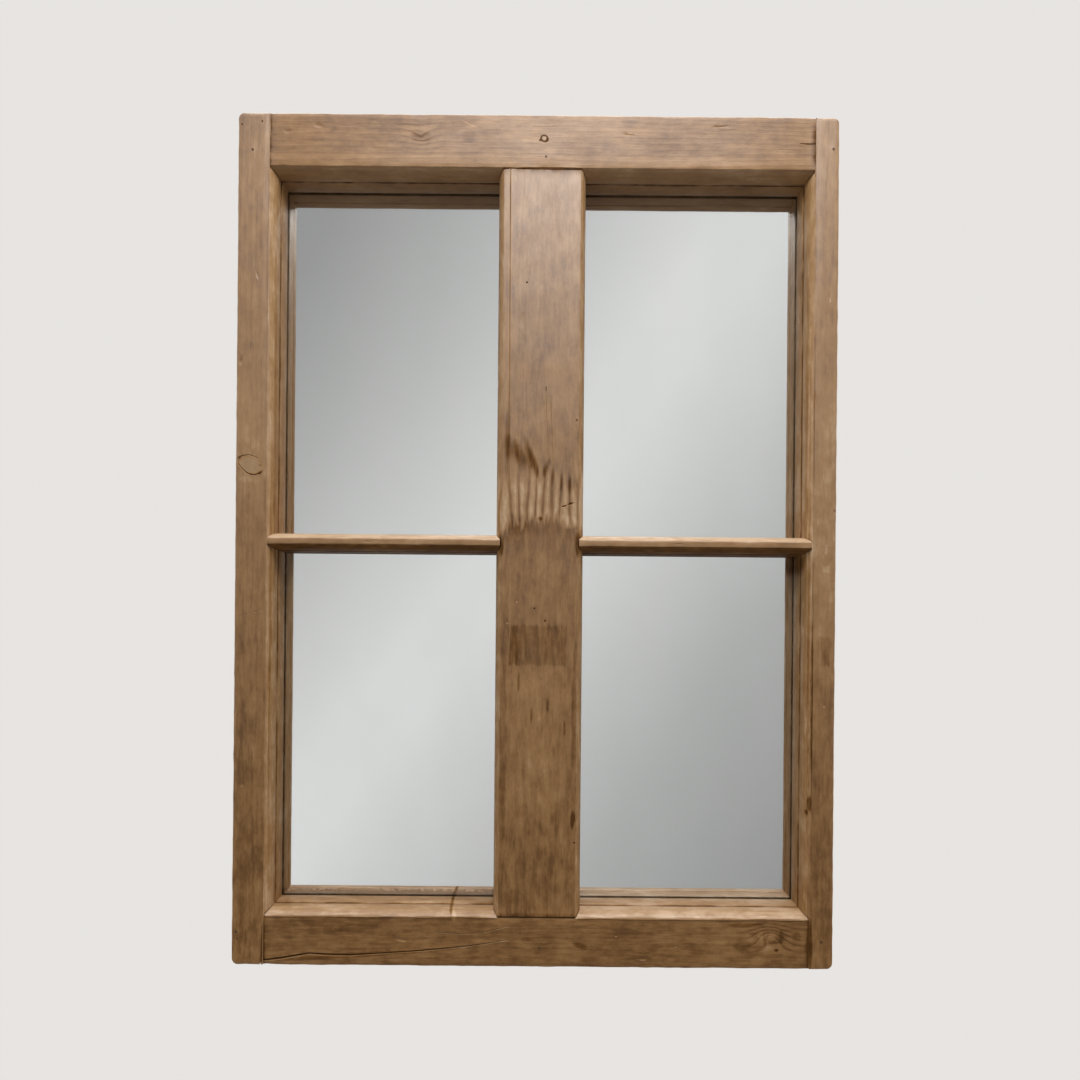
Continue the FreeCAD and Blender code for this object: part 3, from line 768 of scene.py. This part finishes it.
bottomRail = {
    "node": "bottom_rail", "grain": "across", "heart": (-0.330, 0.025, 1.1), "spacing": 0.0050, "sway": 0.026,
    "contrast": 0.06, "shift": 0.06,
    "arrises": [(2, -0.425), (2, -0.375)], "joints": [(0, -0.268), (0, 0.276)], "across": 0.004,
    "arrisWidth": 0.0006, "wave": 0.0007, "wear": 0.0015,
    "pins": [(0.0071, -0.4051)],
    "knots": [],
    "swirls": [
        {"x": 0.2380, "z": -0.3930, "rx": 0.013, "rz": 0.009, "lean": 0.4, "push": 0.016, "contrast": 0.27},
    ],
    "stains": [
        stain(0.2293, -0.3925, 0.006, 0.006, -0.20, ragged=0.5),
        stain(0.2387, -0.3917, 0.005, 0.006, -0.24, ragged=0.5),
        stain(0.2480, -0.3922, 0.003, 0.008, 0.24, ragged=0.4),
        stain(0.2400, -0.3977, 0.008, 0.0025, 0.24, ragged=0.4),
        stain(0.2309, -0.3925, 0.0016, 0.006, 0.26, ragged=0.4),
        stain(0.2640, -0.3920, 0.006, 0.007, 0.18, ragged=0.7),
        stain(0.2133, -0.3808, 0.024, 0.003, 0.26, ragged=0.7),
        stain(0.2434, -0.4056, 0.0028, 0.0024, 0.40, ragged=0.3),
        stain(0.2333, -0.4043, 0.010, 0.004, -0.18, lean=-0.3, ragged=0.5),
        stain(0.2254, -0.4164, 0.010, 0.006, -0.16, ragged=0.6),
        stain(0.2093, -0.4020, 0.012, 0.006, 0.14, ragged=0.6),
        stain(0.2757, -0.402, 0.0032, 0.036, 0.42, ragged=0.5),
        stain(-0.2680, -0.402, 0.0024, 0.036, 0.30, ragged=0.5),
        stain(-0.170, -0.4135, 0.110, 0.0034, 0.24, lean=-0.07, ragged=0.7),
        stain(0.0477, -0.4027, 0.010, 0.004, 0.30, lean=0.2),
        stain(-0.19, -0.383, 0.06, 0.012, 0.12),
        stain(-0.0835, -0.3670, 0.0022, 0.012, 0.45, lean=-0.35, ragged=0.3),
        stain(-0.0785, -0.3755, 0.0035, 0.005, -0.30, lean=-0.35, ragged=0.3),
    ],
    # the lower right ledge is painted paler: painted light on its up-facing moulding
    "patches": [{"box": (0.045, 0.276, -0.3748, -0.3600), "soft": 0.0010, "dark": -0.16}],
    "cracks": [
        ("across", (-0.2690, -0.4202, 0.0022, 0.0060), (-0.2489, -0.4174, 0.0024, 0.0060),
         (-0.2223, -0.4126, 0.0019, 0.0050), (-0.1989, -0.4137, 0.0024, 0.0060),
         (-0.1789, -0.4139, 0.0018, 0.0050), (-0.1439, -0.4114, 0.0012, 0.0030),
         (-0.1110, -0.4090, 0.0015, 0.0040), (-0.0673, -0.4044, 0.0013, 0.0030),
         (-0.0440, -0.4010, 0.0009, 0.0020), (-0.0235, -0.3977, 0.0003, 0.0006)),
        ("across", (-0.0970, -0.3908, 0.0003, 0.0004), (-0.0790, -0.3915, 0.0007, 0.0012),
         (-0.0570, -0.3922, 0.0005, 0.0008), (-0.0390, -0.3880, 0.0008, 0.0012),
         (-0.0215, -0.3837, 0.0003, 0.0004)),
        mullionFoot,
        ("up", (0.2762, -0.3740, 0.0008, 0.0020), (0.2764, -0.3920, 0.0014, 0.0030),
         (0.2765, -0.4100, 0.0018, 0.0040), (0.2766, -0.4255, 0.0028, 0.0050)),
        ("up", (-0.2682, -0.3780, 0.0006, 0.0010), (-0.2684, -0.4000, 0.0010, 0.0020),
         (-0.2686, -0.4255, 0.0014, 0.0030)),
    ],
    "holes": [(-0.0120, -0.3916, 0.0009, 0.002), (0.2431, -0.4060, 0.0011, 0.002)],
    "dents": [(0.0835, -0.3922, 0.002, 0.002, 0.0006, 0.0), (0.143, -0.4024, 0.002, 0.0015, 0.0005, 0.0),
              (-0.130, -0.398, 0.012, 0.003, 0.0006, 0.1), (0.110, -0.4150, 0.010, 0.003, 0.0006, 0.0)],
}
mullionPost = {
    "node": "mullion", "grain": "up", "heart": (-0.012, 0.004, 0.4), "spacing": 0.0040, "sway": 0.024,
    "contrast": 0.06, "shift": 0.02,
    "arrises": [(0, -0.035), (0, 0.043)], "joints": [(2, 0.3715), (2, -0.375)], "across": 0.005,
    "arrisWidth": 0.0006, "wave": 0.0008, "wear": 0.0012,
    "pins": [],
    "knots": [],
    "curl": {"x": 0.012, "z": -0.044, "radius": 0.065, "pitch": 36.0, "strength": 1.25, "dome": 0.18,
             "fade": 0.045, "frays": (0.012, 0.010, 0.034)},
    "stains": [
        stain(-0.0160, 0.085, 0.013, 0.034, 0.28, lean=-0.83, ragged=0.5, to=0.8),
        stain(-0.0285, 0.102, 0.0040, 0.050, 0.26, ragged=0.8, to=0.9),
        stain(-0.0195, 0.090, 0.0030, 0.024, 0.16, lean=-0.15, ragged=0.6, to=0.8),
        stain(-0.0040, 0.082, 0.0046, 0.036, 0.36, lean=-0.36, ragged=0.6, to=0.9),
        stain(0.0090, 0.070, 0.0042, 0.019, 0.34, lean=0.38, ragged=0.5, to=0.9),
        stain(0.0165, 0.065, 0.0032, 0.014, 0.24, ragged=0.3, to=0.8),
        stain(0.0255, 0.059, 0.0030, 0.012, 0.24, ragged=0.3, to=0.8),
        stain(0.0338, 0.056, 0.0030, 0.013, 0.28, ragged=0.3, to=0.8),
        stain(0.0395, 0.056, 0.0030, 0.013, 0.28, ragged=0.3, to=0.8),
        stain(-0.0200, 0.016, 0.020, 0.013, 0.16, ragged=0.3, to=0.8),
        stain(0.0044, 0.0225, 0.0032, 0.0028, 0.40, ragged=0.3),
        stain(0.0040, -0.200, 0.050, 0.110, -0.07),
        stain(0.0330, 0.0190, 0.012, 0.008, -0.22, ragged=0.4),
        stain(-0.0345, -0.003, 0.0035, 0.015, 0.40, ragged=0.4),
        stain(0.0425, -0.003, 0.0035, 0.016, 0.40, ragged=0.4),
        stain(0.0394, -0.2776, 0.003, 0.011, 0.40),
        stain(-0.031, -0.200, 0.005, 0.160, 0.16),
        stain(0.0395, -0.170, 0.003, 0.090, 0.20, ragged=1.6),
        stain(0.000, -0.330, 0.045, 0.070, 0.06),
        stain(-0.0158, -0.1406, 0.0018, 0.014, 0.30, ragged=0.3),
        stain(-0.0027, -0.1734, 0.0018, 0.011, 0.28, ragged=0.3),
        stain(0.0132, -0.1632, 0.0018, 0.009, 0.28, ragged=0.3),
        stain(0.0303, -0.1860, 0.0018, 0.010, 0.28, ragged=0.3),
        stain(0.0100, -0.0793, 0.0016, 0.0016, 0.50, ragged=0.2),
        stain(0.0284, 0.0347, 0.0034, 0.0018, 0.42, ragged=0.2),
        stain(0.0352, 0.0374, 0.0030, 0.0017, 0.42, ragged=0.2),
    ],
    "patches": [
        {"box": (-0.0275, 0.0325, -0.1255, -0.0828), "soft": 0.0028, "dark": 0.20},
        {"box": (-0.0275, -0.0155, -0.1255, -0.0828), "soft": 0.0034, "dark": 0.13},
    ],
    "cracks": [
        ("up", (0.0092, 0.1540, 0.0003, 0.0002), (0.0098, 0.1297, 0.0006, 0.0004),
         (0.0114, 0.1048, 0.0007, 0.0004), (0.0124, 0.0808, 0.0004, 0.0002)),
        ("up", (0.0142, 0.1450, 0.0003, 0.0002), (0.0150, 0.1200, 0.0006, 0.0004),
         (0.0162, 0.0950, 0.0006, 0.0004), (0.0168, 0.0720, 0.0003, 0.0002)),
        ("across", (0.0252, 0.0335, 0.0006, 0.0005), (0.0284, 0.0347, 0.0026, 0.0014),
         (0.0318, 0.0361, 0.0008, 0.0006), (0.0352, 0.0374, 0.0024, 0.0014),
         (0.0382, 0.0384, 0.0006, 0.0005)),
        ("up", (-0.0280, 0.3705, 0.0010, 0.0007), (-0.0277, 0.2800, 0.0009, 0.0006),
         (-0.0273, 0.1600, 0.0010, 0.0007), (-0.0268, 0.0200, 0.0006, 0.0004),
         (-0.0265, -0.0810, 0.0003, 0.0002)),
        mullionHead,
        mullionFoot,
    ],
    "holes": [(-0.0107, 0.2575, 0.0010, 0.003), (0.0401, 0.1207, 0.0009, 0.002),
              (-0.0007, -0.0671, 0.0010, 0.003), (0.0411, -0.3004, 0.0008, 0.002)],
    "dents": [(-0.0275, -0.0808, 0.0012, 0.003, 0.0005, 0.0), (-0.0181, -0.0597, 0.0015, 0.003, 0.0005, 0.2),
              (0.030, -0.210, 0.002, 0.010, 0.0005, 0.1), (-0.015, 0.220, 0.004, 0.014, 0.0003, 0.1),
              (0.022, 0.300, 0.004, 0.014, 0.0002, -0.1)],
}


def barFor(side, seed):
    low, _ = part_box(side + "_glazing_bar")
    return {
        "node": side + "_glazing_bar", "grain": "across", "heart": (0.05 + seed, 0.01, seed),
        "spacing": 0.0036, "sway": 0.014, "contrast": 0.06, "shift": -0.11, "paintedUnderside": 0.42,
        "arrises": [(2, -0.00525), (2, 0.00175)], "joints": [], "across": 0.0035,
        "arrisWidth": 0.0012, "wave": 0.0004, "wear": 0.0007,
        "pins": [], "knots": [], "stains": [], "cracks": [], "holes": [],
        "dents": [(low.x + 0.11, -0.002, 0.008, 0.0015, 0.0004, 0.0)],
    }


for member in (leftStile, rightStile, topRail, bottomRail, mullionPost,
               barFor("left", 0.013), barFor("right", 0.041)):
    makeMember(member)


# Mirror panes: a glass sheet with silvering on its back, held short of the edge

silverSheet = {"thickness": 0.00012, "margin": 0.0006, "groundEdge": 0.0004, "air": 0.0003,
               "standOff": 1.3, "softEdge": 0.3}


def glassFinish():
    finish, tree, place = newFinish("mirror_glass")
    smear = cloudy(tree, place, (9, 9, 3), 4.0, 0.6, turn=(0, 0.6, 0))
    mist = ramp(tree, smear, [(0.45, 0.0), (0.8, 0.02)])
    paler = ramp(tree, smear, [(0.3, 0.0), (0.7, 1.0)])
    tone = tint(tree, paler, (0.965, 0.975, 0.970), (0.985, 0.990, 0.985))
    surface(tree, Base_Color=tone, Roughness=mist, IOR=1.5, Transmission_Weight=1.0)
    return finish


def silverFinish(name, low, ageing):
    finish, tree, place = newFinish(name)
    spots = cloudy(tree, place, (260, 260, 320), 4.0, 0.62)
    rise = calc(tree, "DIVIDE", minus(tree, apart(tree, place)[2], low.z), ageing)
    aged = ramp(tree, minus(tree, scaled(tree, spots, 1.2, 0.4), rise), [(0.0, 0.0), (0.16, 0.60)])
    breath = cloudy(tree, place, (14, 14, 10), 3.0)
    bright = ramp(tree, breath, [(0.3, (0.935, 0.935, 0.930)), (0.7, (0.955, 0.955, 0.952))])
    tone = tint(tree, aged, bright, (0.36, 0.29, 0.21))
    surface(tree, Base_Color=tone, Metallic=1.0, Roughness=ramp(tree, aged, [(0.0, 0.0), (1.0, 0.35)]))
    return finish


def paneBlock(name, low, high, edge):
    deselectAll()
    middle = (low + high) / 2
    bpy.ops.mesh.primitive_cube_add(size=1, location=middle)
    piece = newPiece(name)
    piece.scale = high - low
    settle(piece)
    openMesh(piece)
    bpy.ops.mesh.select_all(action="SELECT")
    bpy.ops.mesh.bevel(offset=edge, segments=1, clamp_overlap=True)
    closeMesh()
    return piece


silverAge = {"upper_left": 0.003, "upper_right": 0.003, "lower_left": 0.011, "lower_right": 0.003}
paneGlass = glassFinish()
for pane in panes:
    node = pane + "_mirror"
    low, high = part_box(node)
    front, back = low.copy(), high.copy()
    front.y += silverSheet["air"]
    back.y -= silverSheet["thickness"] * silverSheet["standOff"]
    glass = paneBlock(pane + "_glass", front, back, silverSheet["groundEdge"])
    putOn(glass, paneGlass, "frame", "silvered_glass", node)
    inner, outer = low.copy(), high.copy()
    inner.y = high.y - silverSheet["thickness"]
    for axis in (0, 2):
        inner[axis] += silverSheet["margin"]
        outer[axis] -= silverSheet["margin"]
    sheet = paneBlock(pane + "_silvering", inner, outer, silverSheet["thickness"] * silverSheet["softEdge"])
    silver = silverFinish(pane + "_silver", low, silverAge[pane])
    putOn(sheet, silver, "frame", "silvered_glass", node)
print("four panes silvered")


# Finishes of the fittings on the back

def plywoodFinish():
    finish, tree, place = newFinish("birch_plywood")
    sway = cloudy(tree, place, (7, 7, 1.4), 3.0)
    across, depth, _ = apart(tree, place)
    rotary = calc(tree, "FRACT", scaled(tree, sway, 9.0, times(tree, across, 6.0)))
    figure = ramp(tree, rotary, [(0.0, 0.0), (0.6, 0.35), (0.9, 1.0), (1.0, 0.0)], "EASE")
    fibre = cloudy(tree, place, (500, 500, 12), 4.0, 0.6)
    plies = ramp(tree, calc(tree, "FRACT", times(tree, depth, 420.0)), [(0.45, 0.0), (0.55, 1.0)])
    onEdge = minus(tree, 1.0, calc(tree, "ABSOLUTE", normalParts(tree)[1]))
    tone = scaled(tree, figure, 0.35, times(tree, fibre, 0.55))
    tone = scaled(tree, times(tree, plies, onEdge), 0.5, tone)
    colour = ramp(tree, tone, [
        (0.1, (0.60, 0.45, 0.29)), (0.5, (0.50, 0.35, 0.205)), (1.0, (0.34, 0.215, 0.115))])
    surface(tree, Base_Color=colour, Roughness=scaled(tree, fibre, 0.25, 0.5),
            Normal=lumps(tree, fibre, 0.4, 0.0003))
    return finish


def cardFinish():
    finish, tree, place = newFinish("grey_card")
    pulp = cloudy(tree, place, (900, 900, 900), 3.0, 0.7)
    felt = cloudy(tree, place, (60, 60, 60), 3.0)
    colour = ramp(tree, scaled(tree, felt, 0.5, times(tree, pulp, 0.5)), [
        (0.3, (0.20, 0.19, 0.17)), (0.7, (0.32, 0.31, 0.285))])
    surface(tree, Base_Color=colour, Roughness=0.9, Normal=lumps(tree, pulp, 0.3, 0.0002))
    return finish


def wedgeFinish():
    finish, tree, place = newFinish("wedge_wood")
    rings = cloudy(tree, place, (20, 220, 700), 3.0, 0.6)
    pores = cloudy(tree, place, (60, 1500, 1500), 2.0)
    tone = scaled(tree, rings, 0.7, times(tree, pores, 0.3))
    colour = ramp(tree, tone, [(0.3, (0.30, 0.185, 0.095)), (0.7, (0.13, 0.070, 0.032))])
    surface(tree, Base_Color=colour, Roughness=scaled(tree, pores, 0.2, 0.5),
            Normal=lumps(tree, tone, 0.5, 0.0003))
    return finish


def metalFinish(name, clean, dull, metal, smooth, grain):
    finish, tree, place = newFinish(name)
    cloud = cloudy(tree, place, (180, 180, 180), 4.0, 0.65)
    speck = cloudy(tree, place, (1400, 1400, 1400), 2.0)
    age = ramp(tree, scaled(tree, cloud, 0.8, times(tree, speck, 0.25)), [(0.38, 0.0), (0.68, 1.0)])
    shine = ramp(tree, age, [(0.0, metal), (1.0, metal * 0.75)])
    surface(tree, Base_Color=tint(tree, age, clean, dull), Metallic=shine,
            Roughness=scaled(tree, age, 0.22, smooth), Normal=lumps(tree, speck, grain, 0.0002))
    return finish


def rubberFinish():
    finish, tree, place = newFinish("black_rubber")
    skin = cloudy(tree, place, (1600, 1600, 1600), 3.0)
    dust = cloudy(tree, place, (160, 160, 160), 4.0)
    colour = ramp(tree, dust, [(0.4, (0.020, 0.020, 0.021)), (0.75, (0.060, 0.058, 0.055))])
    surface(tree, Base_Color=colour, Roughness=scaled(tree, skin, 0.3, 0.5),
            Normal=lumps(tree, skin, 0.35, 0.0002))
    return finish


def dress(finish, *names):
    for name in names:
        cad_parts[name].material_slots[0].material = finish


dress(plywoodFinish(), *(pane + "_backing_board" for pane in panes))
dress(cardFinish(), *(pane + "_liner" for pane in panes))
dress(wedgeFinish(), "tenon_wedges")
iron = metalFinish("dark_iron", (0.075, 0.050, 0.034), (0.130, 0.068, 0.032), 0.4, 0.55, 0.5)
dress(iron, "corner_pins", "mullion_pins")
brass = metalFinish("aged_brass", (0.62, 0.44, 0.17), (0.32, 0.21, 0.085), 1.0, 0.26, 0.25)
dress(brass, "button_screws", *(pane + "_" + side + "_turn_button" for pane in panes for side in sides))
zinc = metalFinish("zinc_steel", (0.60, 0.61, 0.62), (0.40, 0.40, 0.39), 1.0, 0.28, 0.25)
dress(zinc, "hanger_screws", "bumper_screws")
dress(zinc, *(side + kind for side in sides for kind in ("_hanger_strap", "_hanger_ring")))
dress(rubberFinish(), *(pane + "_bumper" for pane in panes))
print("fittings dressed")


# Studio: pale floor well below, a small soft lamp high in front, a weak one behind

studio = {"floorPlace": (0, -0.05, -1.5), "floorSize": (2.4, 2.3, 1), "pale": (0.799, 0.776, 0.753)}
frontLamp = {"place": (0.07, -0.62, 0.83), "aim": (0, -0.05, 0.15), "size": (0.60, 0.24), "power": 6.0}
backLamp = {"place": (0.5, 1.6, 1.1), "aim": (0, 0, 0), "size": (1.4, 1.0), "power": 14.0}
surround = {
    "above": [(0.0, 0.12), (0.5, 0.14), (0.75, 0.20), (0.9, 1.10), (1.0, 5.00)],
    "beside": [(0.70, 0.0), (1.0, 1.1)],
    "slant": (0.796, -0.606),
    "band": [(0.10, 0.25), (0.27, 0.35), (0.445, 0.77), (0.48, 0.77), (0.62, 0.47), (0.72, 0.335),
             (0.90, 0.26)],
}


def floorFinish():
    finish, tree, place = newFinish("pale_floor")
    cloud = cloudy(tree, place, (3, 3, 3), 4.0)
    colour = ramp(tree, cloud, [(0.3, (0.40, 0.388, 0.375)), (0.7, (0.44, 0.428, 0.414))])
    surface(tree, Base_Color=colour, Roughness=0.8)
    return finish


deselectAll()
bpy.ops.mesh.primitive_plane_add(size=1, location=studio["floorPlace"])
floor = newPiece("floor")
floor.scale = studio["floorSize"]
settle(floor)
floor.data.materials.append(floorFinish())


def softLamp(name, light):
    deselectAll()
    bpy.ops.object.light_add(type="AREA", location=light["place"])
    lamp = bpy.context.object
    lamp.name = name
    lamp.data.shape = "RECTANGLE"
    lamp.data.size, lamp.data.size_y = light["size"]
    lamp.data.energy = light["power"]
    x, y, z = (a - p for a, p in zip(light["aim"], light["place"]))
    lamp.rotation_euler = (math.atan2(math.hypot(x, y), -z), 0, math.atan2(-x, y))


softLamp("front_lamp", frontLamp)
softLamp("back_lamp", backLamp)


def dressWorld():
    world = bpy.data.worlds.new("studio")
    bpy.context.scene.world = world
    world.use_nodes = True
    tree = world.node_tree
    tree.nodes.clear()
    x, _, z = apart(tree, put(tree, "ShaderNodeTexCoord").outputs["Generated"])
    # soft light that falls from above and from both sides
    soft = ramp(tree, scaled(tree, z, 0.5, 0.5), surround["above"])
    soft = plus(tree, soft, ramp(tree, calc(tree, "ABSOLUTE", x), surround["beside"]))
    # what stands in front of the panes: a broad pale band on the slant
    slant = scaled(tree, x, surround["slant"][0], times(tree, z, surround["slant"][1]))
    band = ramp(tree, scaled(tree, slant, 0.5, 0.5), surround["band"])
    rays = put(tree, "ShaderNodeLightPath")
    seen = tint(tree, rays.outputs["Is Transmission Ray"], soft, band)
    seen = tint(tree, rays.outputs["Is Camera Ray"], seen, studio["pale"])
    glow = put(tree, "ShaderNodeBackground")
    plug(tree, seen, glow.inputs["Color"])
    out = put(tree, "ShaderNodeOutputWorld")
    tree.links.new(glow.outputs[0], out.inputs["Surface"])


dressWorld()

# Camera, close in front and a little below the middle
lens = {"place": (0.005, -0.8045, -0.065), "focal": 25.0, "sensor": 36.0, "roll": -0.5, "rise": 0.0614,
        "near": 0.01}
deselectAll()
bpy.ops.object.camera_add(location=lens["place"])
camera = bpy.context.object
camera.name = "camera"
camera.data.lens = lens["focal"]
camera.data.sensor_width = lens["sensor"]
camera.data.sensor_fit = "HORIZONTAL"
camera.data.shift_y = lens["rise"]
camera.data.clip_start = lens["near"]
camera.rotation_euler = (math.pi / 2, math.radians(lens["roll"]), 0)
bpy.context.scene.camera = camera
bpy.context.scene.view_settings.view_transform = "Standard"
print("studio set")
